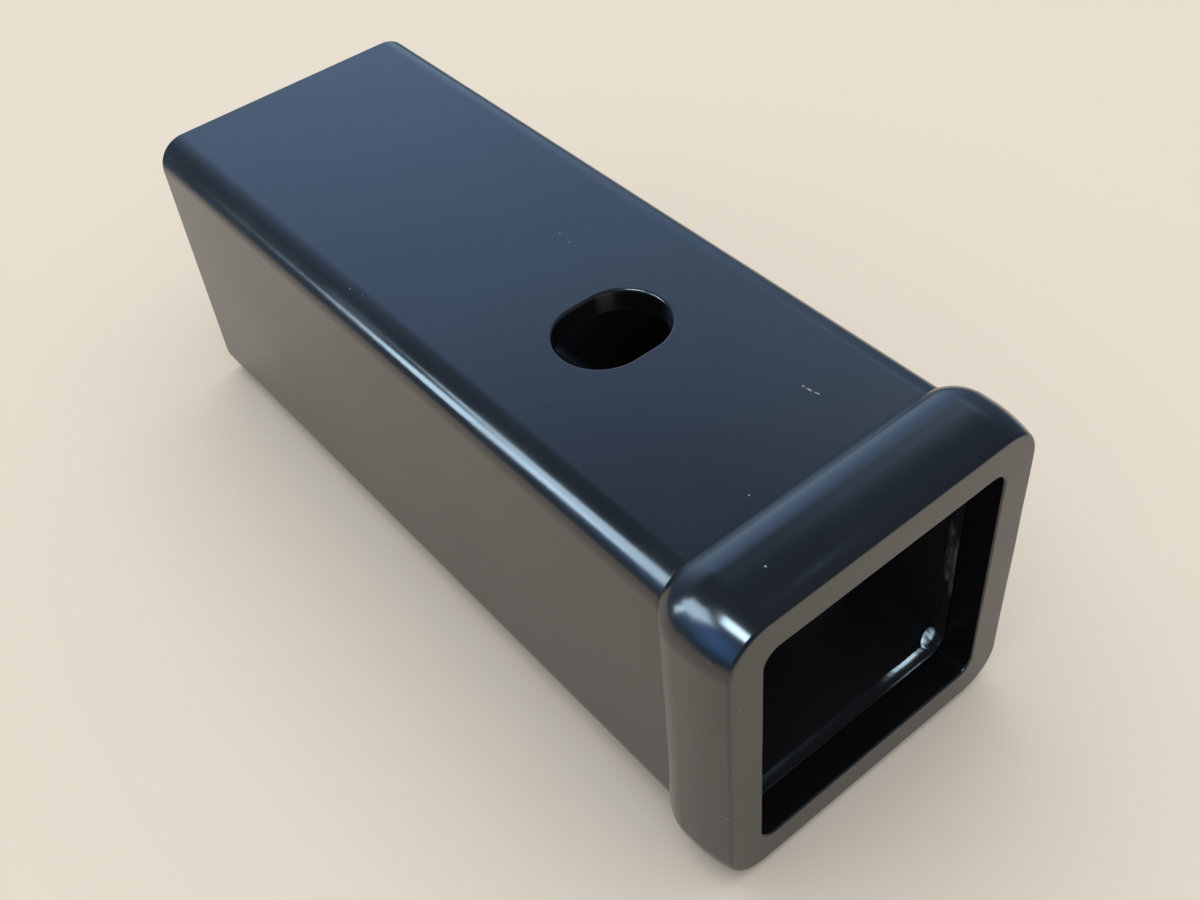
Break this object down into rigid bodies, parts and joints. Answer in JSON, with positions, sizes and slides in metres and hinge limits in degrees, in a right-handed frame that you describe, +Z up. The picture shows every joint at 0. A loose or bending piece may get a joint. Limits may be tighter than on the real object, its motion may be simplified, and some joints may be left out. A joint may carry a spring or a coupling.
{
  "type": "hitch drawbar adapter",
  "caption": "Black painted square steel shank with a pin slot through its top and bottom, and a domed collar round its square mouth, that reduces a tow hitch receiver to a smaller drawbar.",
  "frame": {"origin": "where the axis of the two pin slots crosses the centre line of the square tube", "axes": "+Y runs along the tube from the collar's mouth to the open tail, +Z is up along the pin slots' axis, +X is to the right when looking into the mouth"},
  "size_m": [0.0696, 0.1778, 0.0696],
  "materials": {
    "black_enamel": "satin gloss black enamel over steel"
  },
  "bodies": {
    "root": {"tube": "black_enamel", "collar": "black_enamel", "inner_weld": "black_enamel"}
  },
  "joints": []
}
